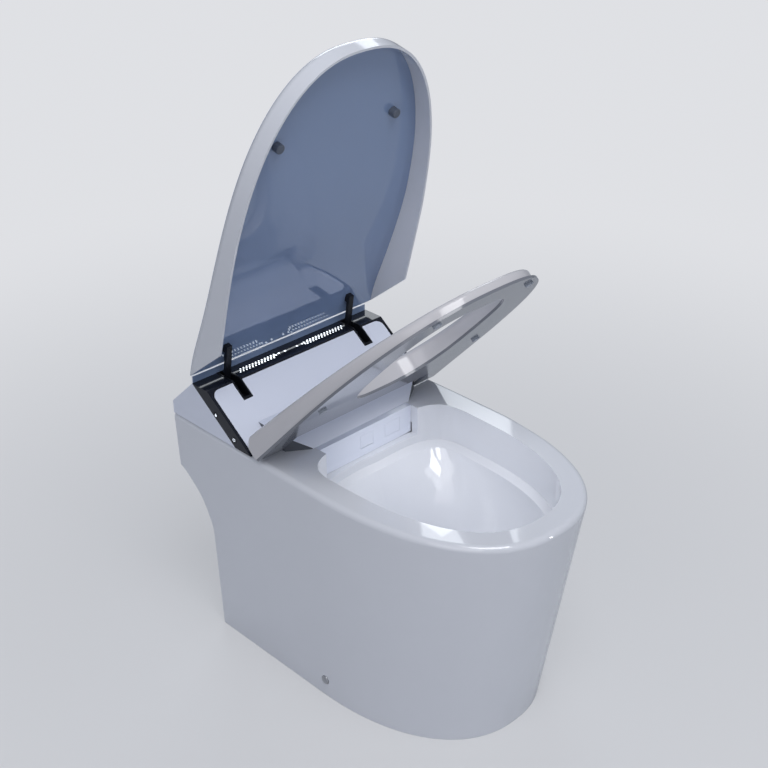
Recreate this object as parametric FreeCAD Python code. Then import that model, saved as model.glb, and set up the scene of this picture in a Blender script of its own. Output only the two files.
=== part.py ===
"""Smart toilet with a heated seat: a skirted ceramic pedestal with a low machine
housing, a soft lid and a heated seat on hidden hinges, a bidet nozzle and a dryer.

Frame: millimetres, +Z up, +Y towards the wall, +X to the right for someone facing
the toilet. The origin is the waste outlet's axis on the floor. The lid and the seat
are modelled closed and then turned to the part-open pose that they rest in.
"""
import FreeCAD, Part
import math
import os

V = FreeCAD.Vector
X_AXIS = V(1, 0, 0)
Y_AXIS = V(0, 1, 0)
Z_AXIS = V(0, 0, 1)

# ---- plumbing and overall place
ROUGH_IN = 305.0            # wall to the waste outlet's axis
WALL_GAP = 13.0             # wall to the rear face
REAR_Y = ROUGH_IN - WALL_GAP

# ---- ceramic pedestal
RIM_Z = 421.3               # top of the ceramic
BODY_HALF_W = 200.0         # half width at the rim
BODY_LENGTH = 692.5         # rear face to the front of the rim
BODY_STRAIGHT = 353.0       # rear face to where the rim starts to curve
BODY_POWER = 2.36           # roundness of the rim's outline
BASE_HALF_W = 183.4         # half width at the floor
BASE_LENGTH = 622.3
BASE_STRAIGHT = 337.0
BASE_POWER = 2.29
BASE_BACK = 77.4            # rear face to the back of the pedestal at the floor
RIM_ROUND = 9.0
WALL = 13.0                 # ceramic wall
RIM_DEPTH = 34.0            # thickness of the rim's ledge
NECK_TOP_Z = 314.0          # underside of the rear block
NECK_END_Z = 202.0          # where the neck meets the pedestal's back

# ---- bowl
BOWL_HALF_W = 155.0
BOWL_REAR = 280.0           # rear face to the back of the opening
BOWL_FRONT = 650.0          # rear face to the front of the opening
BOWL_MID_Y = -80.0          # where the opening is widest
BOWL_POWER = 2.4            # roundness of its front half
BOWL_REAR_POWER = 4.0       # and of its squarer rear half
LEDGE_Z = 352.0             # where the upright wall ends and the bowl slopes in
LEDGE_INSET = 14.0
SUMP_Z = 62.0
SUMP_Y = -146.0
SUMP_HALF_W = 40.0
SUMP_HALF_L = 48.0
TRAP_R = 27.0               # bore radius of the trapway
TRAP_WALL = 9.0
TRAP_BEND_R = 42.0
OUTLET_R = 40.0

# ---- rear deck pocket and the notch for the wand housing
POCKET_HALF_W = 172.0
POCKET_FRONT_Y = 96.0
POCKET_FLOOR_Z = 318.0
NOTCH_CLEAR = 0.5           # beside and under the wand housing
NOTCH_FRONT_Y = 4.0
NOTCH_FLOOR_Z = 368.0

# ---- machine housing
DECK_GAP = 0.3
HOUSING_TOP_Z = 501.0
HOUSING_REAR_Z = 445.0      # top of the upright rear wall
BAR_REAR_Y = REAR_Y - 60.0
BAR_FRONT_Y = REAR_Y - 100.0
PANEL_FOOT_Y = REAR_Y - 207.0
SHELL = 3.0
BEZEL_FRONT_W = 6.0
PANEL_T = 2.6
SLOT_W = 20.0               # slots for the lid's arms
SLOT_FOOT_Y = 160.0
TRIM_LIP = 0.9
TRIM_WALL = 3.0
TRIM_DEPTH = 14.0           # of the trims' side walls under the bar
LENS_X0, LENS_X1 = -124.0, 124.0
FENCE_H = 12.0              # upright strip behind the bar, under the open lid
FENCE_T = 2.2
LENS_Y0, LENS_Y1 = 204.0, 217.0
BRIDGE_TOP_Z = 451.0
BRIDGE_HALF_W = 150.0
BRIDGE_CREASE_Y = 60.0
BRIDGE_FRONT_Y = 33.0
BRIDGE_CORNER_X = 112.0
BRIDGE_CORNER_Y = 58.0
WAND_FACE_Y = 22.0          # front face of the wand housing, in the bowl
WAND_HALF_W = 106.0
WAND_LIP = 2.4              # top edge that the bridge covers

# ---- lid
LID_AXIS_Y = REAR_Y - 74.0
LID_AXIS_Z = 479.0
LID_OPEN = 75.0             # degrees open at rest
LID_HALF_W = BODY_HALF_W + 10.0
LID_RIM_Z = 430.0
LID_RIM_REAR_Y = 90.0
LID_REAR_Y = 186.0
LID_FRONT_Y = -401.5
LID_STRAIGHT_Y = 7.0
LID_POWER = 2.43
LID_SKIN = 3.2
LID_WALL = 4.0              # thickness of the skirt
LID_ROUND = 14.0
LID_REAR_WALL = 6.0
LINER_T = 2.4
# height of the lid's top above its rim at places along Y
LID_TOP = [(186.0, 72.0), (140.0, 70.5), (91.0, 63.5), (28.0, 54.5), (-50.0, 46.5),
           (-144.0, 41.5), (-240.0, 39.5), (-330.0, 38.0), (-402.0, 36.5)]

# ---- seat
SEAT_AXIS_Y = REAR_Y - 224.0
SEAT_AXIS_Z = 440.0
SEAT_OPEN = 46.8            # degrees open at rest
SEAT_BOTTOM_Z = 425.0
SEAT_FRONT_Y = -396.0
SEAT_STRAIGHT_Y = -60.0
SEAT_POWER = 2.44
SEAT_TOP_FRONT_Z = 444.0
SEAT_TOP_REAR_Z = 467.0
SEAT_REAR_Y = 80.0
SEAT_NOTCH_Y = 20.0
HOLE_HALF_W = 104.0
HOLE_REAR_Y = -46.0
HOLE_FRONT_Y = -338.0
HOLE_POWER = 2.8
SEAT_SPLIT = 4.5            # thickness of the seat's base
SEAT_CLEAR = 2.0            # between the seat's top and the lid's skirt
SEAT_HALF_W = LID_HALF_W - LID_WALL - SEAT_CLEAR
SEAT_ROUND = 7.0
SEAT_BUMPERS = [(172.0, -108.0), (100.0, -352.0)]
LUG_X = 152.5

# ---- fixings and the parts in the base
FIXING_Y = -63.0            # side screw of the floor bracket
FIXING_Z = 35.0
FIXING_R = 3.0
CAP_R = 8.0
CAP_DEPTH = 2.5
BRACKET_T = 4.0
BRACKET_L = 44.0
BRACKET_H = 52.0
FLOOR_HOLE_X = 142.0
FLOOR_HOLE_R = 4.5
SEAL_BORE_R = 30.0
SEAL_H = 13.6

# ---- machine parts
CHASSIS_T = 3.4
LID_SHAFT_R = 6.0
ARM_X = LID_HALF_W - 71.0
ARM_W = 11.0
ARM_T = 6.0
ARM_HUB_R = 10.0
ARM_REACH = 80.0
ARM_RISE = 9.0              # rise of the closed arm over its reach
LID_BUMPER_R = 8.0
LID_BUMPER_X = 121.0
LID_BUMPER_Y = -252.0
SEAT_PIN_R = 5.0
SEAT_PIN_IN = 24.0          # how far a pin goes into its lug
SEAT_PIN_LENGTH = 48.0
HUB_R = 7.6
HUB_X0 = 108.0
HUB_X1 = 138.0
SEAT_SHAFT_X0 = -124.0
SEAT_BUMPER_R = 7.0

# ---- wand (bidet nozzle)
WAND_TILT = 20.0
WAND_TIP_Y = 27.0
WAND_TIP_Z = 398.0
WAND_R = 7.0
WAND_LENGTH = 168.0
WAND_TRAVEL = 120.0
DOOR_T = 2.0
DOOR_W = 30.0
DOOR_Z0 = 383.0
DOOR_Z1 = 409.0
DOOR_GAP = 0.4
DOOR_FOOT_GAP = 1.3         # below the shutter, which leaves at a slant
FLAP_AXIS_Y = 23.5
FLAP_AXIS_DROP = 1.6
FLAP_PIN_R = 0.9
MODULE = 2.0
PINION_TEETH = 10
PINION_BACK = 52.0          # distance of the pinion behind the wand's tip, along it
TOOTH_W = 2.3               # tooth thickness at the pitch line
TOOTH_H = 1.5               # tooth height each side of the pitch line
RACK_W = 6.0

# ---- dryer
FLAP_X0 = 43.0
FLAP_X1 = 79.0
FAN_X = 104.0
FAN_Y = 176.0
FAN_R = 40.0
FAN_Z0 = 384.0
IMPELLER_R = 30.0
IMPELLER_H = 22.0
DUCT_WALL = 2.0

# ---- blocks on the chassis: x from and to, y from and to, height
TANK = (-118.0, -34.0, 148.0, 204.0, 30.0)
DIVERTER = (26.0, 56.0, 200.0, 236.0, 22.0)
SUPPLY = (124.0, 176.0, 236.0, 280.0, 26.0)
FILTER = (-188.0, -126.0, 150.0, 196.0, 20.0)
BOARD_X0, BOARD_X1 = -100.0, 60.0
BOARD_Y = 262.0
BOARD_H = 30.0
BOARD_T = 1.6

# ---- pump, in the pocket
PUMP_X0, PUMP_X1 = -150.0, -84.0
PUMP_Y = 190.0
PUMP_R = 20.0
PUMP_DROP = 24.0            # its axis below the rim

# ---- flush valve
VALVE_X = -20.0
VALVE_Y = 236.0
VALVE_R = 24.0
VALVE_PIPE_R = 13.0
VALVE_H = 96.0
VALVE_CAP_RISE = 16.0       # its cap above the rim

# ---- side buttons
BUTTONS = [(172.0, 465.0), (127.0, 436.0)]
BUTTON_R = 5.5

# ---- connections on the rear wall
INLET_X = -150.0
INLET_R = 10.48             # half inch pipe thread
INLET_Z = 434.0
GLAND_X = 150.0
GLAND_R = 7.0
CORD_R = 3.4
STUB = 11.0                 # how far both stand out of the rear wall
THREAD_RELIEF = 0.5         # smooth neck between the wall and the thread
NECK_R = 9.0

REAR_SCREWS_X = (-90.0, -30.0, 30.0, 90.0)
REAR_SCREWS_Z = 430.0
REAR_SCREW_R = 2.0
REAR_HEAD_R = 5.0
REAR_NUT_R = 3.0

RUN_GAP = 0.05              # running clearance of turning parts
FACE_GAP = 0.3              # clearance between faces of neighbouring bodies

NODES = {}


def add(name, shape):
    NODES[name] = shape


# ------------------------------------------------------------------ helpers
def box(x0, x1, y0, y1, z0, z1):
    return Part.makeBox(x1 - x0, y1 - y0, z1 - z0, V(x0, y0, z0))


def cyl_x(r, x0, x1, y, z):
    return Part.makeCylinder(r, x1 - x0, V(x0, y, z), X_AXIS)


def cyl_y(r, y0, y1, x, z):
    return Part.makeCylinder(r, y1 - y0, V(x, y0, z), Y_AXIS)


def cyl_z(r, z0, z1, x, y):
    return Part.makeCylinder(r, z1 - z0, V(x, y, z0), Z_AXIS)


def prism_x(points, x0, x1):
    """A YZ polygon, pushed along X."""
    ring = [V(x0, y, z) for y, z in points]
    face = Part.Face(Part.makePolygon(ring + [ring[0]]))
    return face.extrude(V(x1 - x0, 0, 0))


def prism_z(points, z0, z1):
    """An XY polygon, pushed along Z."""
    ring = [V(x, y, z0) for x, y in points]
    face = Part.Face(Part.makePolygon(ring + [ring[0]]))
    return face.extrude(V(0, 0, z1 - z0))


def spline(points, start=None, end=None):
    curve = Part.BSplineCurve()
    if start is None:
        curve.interpolate(points)
    else:
        curve.interpolate(Points=points, InitialTangent=start, FinalTangent=end)
    return curve.toShape()


def d_wire(half_w, rear_y, straight_y, front_y, power, z):
    """A toilet outline: square at the rear, straight sides and a rounded front."""
    steps = 16
    nose = []
    for i in range(steps + 1):
        t = math.pi * i / steps - math.pi / 2
        s, c = math.sin(t), math.cos(t)
        x = half_w * math.copysign(abs(s) ** (2 / power), s)
        y = straight_y + (front_y - straight_y) * abs(c) ** (2 / power)
        nose.append(V(x, y, z))
    left_back, right_back = V(-half_w, rear_y, z), V(half_w, rear_y, z)
    edges = [Part.LineSegment(left_back, nose[0]).toShape(),
             spline(nose, V(0, -1, 0), V(0, 1, 0)),
             Part.LineSegment(nose[-1], right_back).toShape(),
             Part.LineSegment(right_back, left_back).toShape()]
    return Part.Wire(edges)


def d_prism(half_w, rear_y, straight_y, front_y, power, z0, z1):
    wire = d_wire(half_w, rear_y, straight_y, front_y, power, z0)
    return Part.Face(wire).extrude(V(0, 0, z1 - z0))


def oval_wire(half_w, rear_y, front_y, power, z):
    """A closed superellipse about the middle of its length."""
    steps = 24
    mid, half_l = (rear_y + front_y) / 2, (rear_y - front_y) / 2
    ring = []
    for i in range(steps):
        t = 2 * math.pi * i / steps
        s, c = math.sin(t), math.cos(t)
        x = half_w * math.copysign(abs(s) ** (2 / power), s)
        y = mid + half_l * math.copysign(abs(c) ** (2 / power), c)
        ring.append(V(x, y, z))
    curve = Part.BSplineCurve()
    curve.interpolate(Points=ring, PeriodicFlag=True)
    return Part.Wire([curve.toShape()])


def bowl_wire(inset, z):
    """The bowl's opening: a rounded front half and a squarer rear half."""
    steps = 24
    ring = []
    for i in range(steps):
        t = 2 * math.pi * i / steps
        s, c = math.sin(t), math.cos(t)
        power = BOWL_REAR_POWER if c > 0 else BOWL_POWER
        end_y = REAR_Y - (BOWL_REAR if c > 0 else BOWL_FRONT)
        half_l = abs(end_y - BOWL_MID_Y) - inset
        x = (BOWL_HALF_W - inset) * math.copysign(abs(s) ** (2 / power), s)
        y = BOWL_MID_Y + half_l * math.copysign(abs(c) ** (2 / power), c)
        ring.append(V(x, y, z))
    curve = Part.BSplineCurve()
    curve.interpolate(Points=ring, PeriodicFlag=True)
    return Part.Wire([curve.toShape()])


def oval_prism(half_w, rear_y, front_y, power, z0, z1):
    return Part.Face(oval_wire(half_w, rear_y, front_y, power, z0)).extrude(V(0, 0, z1 - z0))


def fuse(shapes):
    shapes = list(shapes)
    result = shapes[0].fuse(shapes[1:]) if len(shapes) > 1 else shapes[0]
    return result.removeSplitter()


def both_sides(shape):
    """The shape and its mirror image in the plane x = 0."""
    return [shape, shape.mirror(V(0, 0, 0), X_AXIS)]


def open_lid(shape):
    turned = shape.copy()
    turned.rotate(V(0, LID_AXIS_Y, LID_AXIS_Z), X_AXIS, -LID_OPEN)
    return turned


def open_seat(shape):
    turned = shape.copy()
    turned.rotate(V(0, SEAT_AXIS_Y, SEAT_AXIS_Z), X_AXIS, -SEAT_OPEN)
    return turned


def edges_at(shape, test):
    return [edge for edge in shape.Edges if test(edge)]


# ------------------------------------------------------------------ ceramic
def body_envelope(inset, z0, z1):
    """The pedestal's outside, drawn in by inset, from z0 to z1."""
    def outline(z):
        f = z / RIM_Z
        half_w = BASE_HALF_W + (BODY_HALF_W - BASE_HALF_W) * f - inset
        straight = REAR_Y - (BASE_STRAIGHT + (BODY_STRAIGHT - BASE_STRAIGHT) * f)
        front = REAR_Y - (BASE_LENGTH + (BODY_LENGTH - BASE_LENGTH) * f) + inset
        power = BASE_POWER + (BODY_POWER - BASE_POWER) * f
        return d_wire(half_w, REAR_Y - inset, straight, front, power, z)
    return Part.makeLoft([outline(z0), outline(z1)], True, True)


def neck_cut(inset):
    """What is cut away behind the pedestal, under the rear block."""
    back = REAR_Y - BASE_BACK - inset
    far = REAR_Y + 20
    top, end = NECK_TOP_Z + inset, NECK_END_Z + inset
    curve = spline([V(-300, REAR_Y - 1.0, top), V(-300, REAR_Y - 29 - inset * 0.4, top - 20),
                    V(-300, REAR_Y - 55 - inset * 0.8, top - 48),
                    V(-300, REAR_Y - 70 - inset, top - 80), V(-300, back, end)],
                   V(0, -1, -0.45), V(0, -0.02, -1))
    lines = [V(-300, back, end), V(-300, back, -5), V(-300, far, -5), V(-300, far, top),
             V(-300, REAR_Y - 1.0, top)]
    edges = [curve] + [Part.LineSegment(a, b).toShape() for a, b in zip(lines, lines[1:])]
    return Part.Face(Part.Wire(edges)).extrude(V(600, 0, 0))


def bowl_loft(grow):
    """The bowl's inside, or its outside when grown by the wall."""
    rear, front = REAR_Y - BOWL_REAR + grow, REAR_Y - BOWL_FRONT - grow
    top = RIM_Z + (1 if grow == 0 else -1)
    upper = [bowl_wire(-grow, top), bowl_wire(1 - grow, LEDGE_Z - grow)]
    lower = [bowl_wire(LEDGE_INSET - grow, LEDGE_Z - 8 - grow),
             oval_wire(BOWL_HALF_W * 0.72 + grow, rear - 44, front + 62, 2.1, 262 - grow),
             oval_wire(BOWL_HALF_W * 0.44 + grow, rear - 74, front + 128, 2.0, 170 - grow),
             oval_wire(SUMP_HALF_W + grow, SUMP_Y + SUMP_HALF_L + grow,
                       SUMP_Y - SUMP_HALF_L - grow, 2.0, SUMP_Z - grow)]
    wall = Part.makeLoft(upper, True, True)
    step = Part.makeLoft([upper[1], lower[0]], True, True)
    well = Part.makeLoft(lower, True, False)
    return fuse([wall, step, well])


def trapway(radius):
    """The S of the trapway: up from the sump, over the weir and down to the outlet."""
    centre_y = -TRAP_BEND_R
    root2 = math.sqrt(2)
    start = V(0, SUMP_Y + 20, SUMP_Z + 34)
    line_c = start.z - start.y
    centre_z = centre_y + line_c - TRAP_BEND_R * root2
    arc_in = V(0, centre_y - TRAP_BEND_R / root2, centre_z + TRAP_BEND_R / root2)
    arc_mid = V(0, centre_y + TRAP_BEND_R * math.sin(math.radians(22.5)),
                centre_z + TRAP_BEND_R * math.cos(math.radians(22.5)))
    arc_out = V(0, 0, centre_z)
    end = V(0, 0, -1)
    path = Part.Wire([Part.LineSegment(start, arc_in).toShape(),
                      Part.Arc(arc_in, arc_mid, arc_out).toShape(),
                      Part.LineSegment(arc_out, end).toShape()])
    ring = Part.Wire([Part.makeCircle(radius, start, arc_in.sub(start))])
    return path.makePipeShell([ring], True, True)


def ceramic_bowl():
    outside = body_envelope(0, 0, RIM_Z)
    front_rim = edges_at(outside, lambda e: e.BoundBox.ZMin > RIM_Z - 0.1
                         and e.BoundBox.YMin < REAR_Y - 1)
    outside = outside.makeFillet(RIM_ROUND, front_rim)
    outside = outside.cut(neck_cut(0))
    hollow = body_envelope(WALL, -1, RIM_Z - RIM_DEPTH).cut(neck_cut(WALL))
    block = box(-400, 400, POCKET_FRONT_Y - WALL, 400, NECK_TOP_Z - 30, 500)
    shell = outside.cut(hollow.cut(block))
    inside = outside.common(bowl_loft(WALL))
    pipe = trapway(TRAP_R + TRAP_WALL).common(outside)
    foot = cyl_z(OUTLET_R + TRAP_WALL, 0, 26, 0, 0)
    body = shell.fuse([inside, pipe, foot])
    body = body.cut(bowl_loft(0))
    body = body.cut(trapway(TRAP_R))
    body = body.cut(cyl_z(OUTLET_R, -1, 14, 0, 0))
    pocket = box(-POCKET_HALF_W, POCKET_HALF_W, POCKET_FRONT_Y, REAR_Y - WALL,
                 POCKET_FLOOR_Z, RIM_Z + 1)
    notch_w = WAND_HALF_W + NOTCH_CLEAR
    notch = box(-notch_w, notch_w, NOTCH_FRONT_Y, POCKET_FRONT_Y + 1,
                NOTCH_FLOOR_Z, RIM_Z + 1)
    body = body.cut(pocket).cut(notch)
    side_x = BASE_HALF_W + (BODY_HALF_W - BASE_HALF_W) * FIXING_Z / RIM_Z
    for sign in (-1, 1):
        hole = cyl_x(FIXING_R + 0.5, -30, 30, FIXING_Y, FIXING_Z)
        seat = cyl_x(CAP_R + 0.3, -CAP_DEPTH, 30, FIXING_Y, FIXING_Z)
        for tool in (hole, seat):
            tool = tool if sign > 0 else tool.mirror(V(0, 0, 0), X_AXIS)
            tool.translate(V(sign * side_x, 0, 0))
            body = body.cut(tool)
    body = body.cut(cyl_z(VALVE_PIPE_R + 0.4, POCKET_FLOOR_Z - 40, POCKET_FLOOR_Z + 1,
                          VALVE_X, VALVE_Y))
    return body.removeSplitter()


def fixings():
    side_x = BASE_HALF_W + (BODY_HALF_W - BASE_HALF_W) * FIXING_Z / RIM_Z
    upright_x = BASE_HALF_W - WALL - 2.0
    y0, y1 = FIXING_Y - BRACKET_L / 2, FIXING_Y + BRACKET_L / 2
    plate = box(FLOOR_HOLE_X - 18, upright_x, y0, y1, 0, BRACKET_T)
    upright = box(upright_x - BRACKET_T, upright_x, y0, y1, BRACKET_T, BRACKET_H)
    bracket = plate.fuse(upright).removeSplitter()
    bracket = bracket.cut(cyl_z(FLOOR_HOLE_R, -1, BRACKET_T + 1, FLOOR_HOLE_X, FIXING_Y))
    bracket = bracket.cut(cyl_x(FIXING_R + RUN_GAP, upright_x - 20, upright_x + 1,
                                FIXING_Y, FIXING_Z))
    screw = cyl_x(FIXING_R, upright_x - 12, side_x - CAP_DEPTH - 0.5, FIXING_Y, FIXING_Z)
    head_x = side_x - CAP_DEPTH
    cap = cyl_x(CAP_R, head_x, side_x + 1.8, FIXING_Y, FIXING_Z)
    cap = cap.makeFillet(1.4, edges_at(cap, lambda e: e.BoundBox.XMin > side_x + 1.7))
    add("floor_brackets", Part.Compound(both_sides(bracket)))
    add("side_screws", Part.Compound(both_sides(screw)))
    add("screw_caps", Part.Compound(both_sides(cap)))
    seal = cyl_z(OUTLET_R - FACE_GAP, 0, SEAL_H, 0, 0).cut(cyl_z(SEAL_BORE_R, -1, SEAL_H + 1, 0, 0))
    add("outlet_seal", seal)


# ------------------------------------------------------------------ housing
SLOPE = math.atan2(HOUSING_TOP_Z - RIM_Z, BAR_FRONT_Y - PANEL_FOOT_Y)
SLOPE_LENGTH = math.hypot(HOUSING_TOP_Z - RIM_Z, BAR_FRONT_Y - PANEL_FOOT_Y)
DECK_Z = RIM_Z + DECK_GAP
CHASSIS_TOP_Z = DECK_Z + CHASSIS_T


def on_slope(shape):
    """Place a shape drawn flat, with Y up the slope and Z out of it, on the panel."""
    placed = shape.copy()
    placed.rotate(V(0, 0, 0), X_AXIS, math.degrees(SLOPE))
    placed.translate(V(0, PANEL_FOOT_Y, RIM_Z))
    return placed


def slope_z(y):
    return RIM_Z + (y - PANEL_FOOT_Y) * math.tan(SLOPE)


def under_slope(t):
    """The housing's YZ outline, drawn in by t from the top, slope and rear."""
    drop = t / math.cos(SLOPE)
    foot_y = PANEL_FOOT_Y + (DECK_Z - RIM_Z + drop) / math.tan(SLOPE)
    front_y = PANEL_FOOT_Y + (HOUSING_TOP_Z - t - RIM_Z + drop) / math.tan(SLOPE)
    rear_slope = (HOUSING_TOP_Z - HOUSING_REAR_Z) / (REAR_Y - BAR_REAR_Y)
    rear_drop = t * math.hypot(1, rear_slope)
    bar_y = BAR_REAR_Y + (t - rear_drop) / rear_slope
    rear_z = HOUSING_REAR_Z + t * rear_slope - rear_drop
    return [(REAR_Y - t, DECK_Z), (REAR_Y - t, rear_z), (bar_y, HOUSING_TOP_Z - t),
            (front_y, HOUSING_TOP_Z - t), (foot_y, DECK_Z)]


def slot_cutter():
    """The way of the lid's arms through the bar and the panel."""
    half, foot = SLOT_W / 2, SLOT_FOOT_Y
    cutter = prism_x([(BAR_REAR_Y, HOUSING_TOP_Z + 9), (foot, HOUSING_TOP_Z + 9),
                      (foot, slope_z(foot) - 14), (BAR_REAR_Y, HOUSING_TOP_Z - 20)],
                     ARM_X - half, ARM_X + half)
    return Part.Compound(both_sides(cutter))


def wand_way():
    """The way of the wand's tube through the panel's foot and the bridge's rear."""
    return on_wand(Part.makeCylinder(WAND_R + 1.5, 100, V(0, 40, 0), Y_AXIS))


def housing():
    outer = prism_x(under_slope(0), -BODY_HALF_W, BODY_HALF_W)
    inner_w = BODY_HALF_W - SHELL
    inner = prism_x([(y, z - 1 if z == DECK_Z else z) for y, z in under_slope(SHELL)],
                    -inner_w, inner_w)
    skin = outer.cut(inner)
    band = prism_x([(BAR_REAR_Y, HOUSING_TOP_Z), (BAR_REAR_Y, HOUSING_TOP_Z + 5),
                    (0, HOUSING_TOP_Z + 5), (0, RIM_Z),
                    (PANEL_FOOT_Y + BAR_REAR_Y - BAR_FRONT_Y, RIM_Z)],
                   -BODY_HALF_W - 1, BODY_HALF_W + 1)
    rear = skin.cut(band).cut(slot_cutter())
    frame = skin.common(band)
    window_w = BODY_HALF_W - BEZEL_FRONT_W
    window_top = SLOPE_LENGTH - 4.0
    corner = 15.0

    def panel_plate(grow, z0, z1):
        w, top = window_w + grow, window_top + grow
        plate = prism_z([(-w, -2), (w, -2), (w, top), (-w, top)], z0, z1)
        upper = edges_at(plate, lambda e: abs(e.BoundBox.YMin - top) < 0.01
                         and e.BoundBox.ZLength > z1 - z0 - 0.01)
        return on_slope(plate.makeFillet(corner, upper))
    above_deck = box(-300, 300, 0, 400, DECK_Z, 600)
    frame = frame.cut(panel_plate(0.3, -20, 3)).cut(slot_cutter())
    lens_cut = box(LENS_X0 - 0.2, LENS_X1 + 0.2, LENS_Y0 - 0.2, LENS_Y1 + 0.2,
                   HOUSING_TOP_Z - 1.6, HOUSING_TOP_Z + 1)
    frame = frame.cut(lens_cut)
    for y, z in BUTTONS:
        frame = frame.cut(cyl_x(BUTTON_R + 0.3, -BODY_HALF_W - 1, -BODY_HALF_W + 5, y, z))
    panel = panel_plate(0, -PANEL_T, 0).common(above_deck).cut(slot_cutter())
    panel = panel.cut(wand_way())
    rear = rear.cut(cyl_y(NECK_R + RUN_GAP, REAR_Y - 10, REAR_Y + 5, INLET_X, INLET_Z))
    rear = rear.cut(cyl_y(GLAND_R + RUN_GAP, REAR_Y - 10, REAR_Y + 5, GLAND_X, INLET_Z))
    add("bezel", frame)
    add("front_panel", panel)
    lens = box(LENS_X0, LENS_X1, LENS_Y0, LENS_Y1, HOUSING_TOP_Z - 1.5, HOUSING_TOP_Z)
    add("display_lens", lens)
    board = box(LENS_X0, LENS_X1, LENS_Y0 - 4, LENS_Y1 + 4, HOUSING_TOP_Z - 5.2,
                HOUSING_TOP_Z - 3.6)
    posts = [box(x, x + 6, LENS_Y0 - 4, LENS_Y0 + 2, HOUSING_TOP_Z - 3.6, HOUSING_TOP_Z - 3.05)
             for x in (LENS_X0, LENS_X1 - 6)]
    add("display_board", fuse([board] + posts))
    inner_y, outer_y = REAR_Y - SHELL - FACE_GAP, REAR_Y + FACE_GAP
    screws = []
    for x in REAR_SCREWS_X:
        nut = cyl_y(REAR_NUT_R, inner_y - 5.7, inner_y, x, REAR_SCREWS_Z)
        shank = cyl_y(REAR_SCREW_R, inner_y, outer_y, x, REAR_SCREWS_Z)
        head = cyl_y(REAR_HEAD_R, outer_y, outer_y + 2.2, x, REAR_SCREWS_Z)
        screws.append(fuse([nut, shank, head]))
        rear = rear.cut(cyl_y(REAR_SCREW_R + FACE_GAP, REAR_Y - 10, REAR_Y + 5, x, REAR_SCREWS_Z))
    add("rear_screws", Part.Compound(screws))
    add("housing_shell", rear)


def slot_trims():
    """Black trims that line the arm slots: a frame in the bar and a trough in the panel."""
    half, way = SLOT_W / 2 - 0.3, ARM_W / 2 + 1.5
    foot, back, top = SLOT_FOOT_Y + 0.3, BAR_REAR_Y - 0.3, HOUSING_TOP_Z
    foot_z, end_y = slope_z(foot), BAR_FRONT_Y + 4
    floor_front, floor_back = foot_z - 2.5, foot_z - 4.5
    strap = prism_x([(back, top + TRIM_LIP), (BAR_FRONT_Y - 0.4, top + TRIM_LIP),
                     (foot, foot_z + TRIM_LIP * 1.25), (foot, floor_front - TRIM_WALL),
                     (end_y, floor_back - TRIM_WALL), (end_y, top - TRIM_DEPTH),
                     (back, top - TRIM_DEPTH)], ARM_X - half, ARM_X + half)
    arm_way = prism_x([(foot + TRIM_WALL, top + 50), (foot + TRIM_WALL, floor_front),
                       (end_y + 1, floor_back), (back - TRIM_WALL, floor_back),
                       (back - TRIM_WALL, top + 50)], ARM_X - way, ARM_X + way)
    add("slot_trims", Part.Compound(both_sides(strap.cut(arm_way))))


def hinge_cover():
    """The strip behind the bar that closes the gap under the open lid."""
    rear_slope = (HOUSING_TOP_Z - HOUSING_REAR_Z) / (REAR_Y - BAR_REAR_Y)
    half_w, top = BODY_HALF_W - 2.0, HOUSING_TOP_Z + FENCE_H
    y0, y1 = BAR_REAR_Y, BAR_REAR_Y + FENCE_T
    add("hinge_cover", prism_x([(y0, HOUSING_TOP_Z), (y0, top), (y1, top),
                                (y1, HOUSING_TOP_Z - FENCE_T * rear_slope)], -half_w, half_w))


def bridge():
    outer = [(PANEL_FOOT_Y + 36, BRIDGE_TOP_Z), (BRIDGE_CREASE_Y, BRIDGE_TOP_Z),
             (BRIDGE_FRONT_Y, DECK_Z + 1.5), (BRIDGE_FRONT_Y, DECK_Z),
             (PANEL_FOOT_Y - 0.6, DECK_Z), (PANEL_FOOT_Y - 0.6, DECK_Z + 0.3)]
    slope_top = PANEL_FOOT_Y + (BRIDGE_TOP_Z - RIM_Z) / math.tan(SLOPE) - 0.6
    outer[0] = (slope_top, BRIDGE_TOP_Z)
    body = prism_x(outer, -BRIDGE_HALF_W, BRIDGE_HALF_W)
    plan = prism_z([(-BRIDGE_HALF_W, 200), (-BRIDGE_HALF_W, BRIDGE_CORNER_Y),
                    (-BRIDGE_CORNER_X, BRIDGE_FRONT_Y), (BRIDGE_CORNER_X, BRIDGE_FRONT_Y),
                    (BRIDGE_HALF_W, BRIDGE_CORNER_Y), (BRIDGE_HALF_W, 200)], 400, 500)
    body = body.common(plan)
    t = 2.6
    inner = prism_x([(slope_top - 4, BRIDGE_TOP_Z - t), (BRIDGE_CREASE_Y + 1.2, BRIDGE_TOP_Z - t),
                     (BRIDGE_FRONT_Y + t + 2, DECK_Z - 1), (PANEL_FOOT_Y - 4, DECK_Z - 1),
                     (PANEL_FOOT_Y - 4, DECK_Z + 0.3)], -BRIDGE_HALF_W + t, BRIDGE_HALF_W - t)
    inner_plan = prism_z([(-BRIDGE_HALF_W + t, 200), (-BRIDGE_HALF_W + t, BRIDGE_CORNER_Y + 1.5),
                          (-BRIDGE_CORNER_X + 1, BRIDGE_FRONT_Y + t),
                          (BRIDGE_CORNER_X - 1, BRIDGE_FRONT_Y + t),
                          (BRIDGE_HALF_W - t, BRIDGE_CORNER_Y + 1.5), (BRIDGE_HALF_W - t, 200)],
                         400, 500)
    cover = body.cut(inner.common(inner_plan))
    cover = cover.cut(cyl_x(SEAT_PIN_R + RUN_GAP, -300, 300, SEAT_AXIS_Y, SEAT_AXIS_Z))
    add("bridge_cover", cover.cut(wand_way()))


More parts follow.
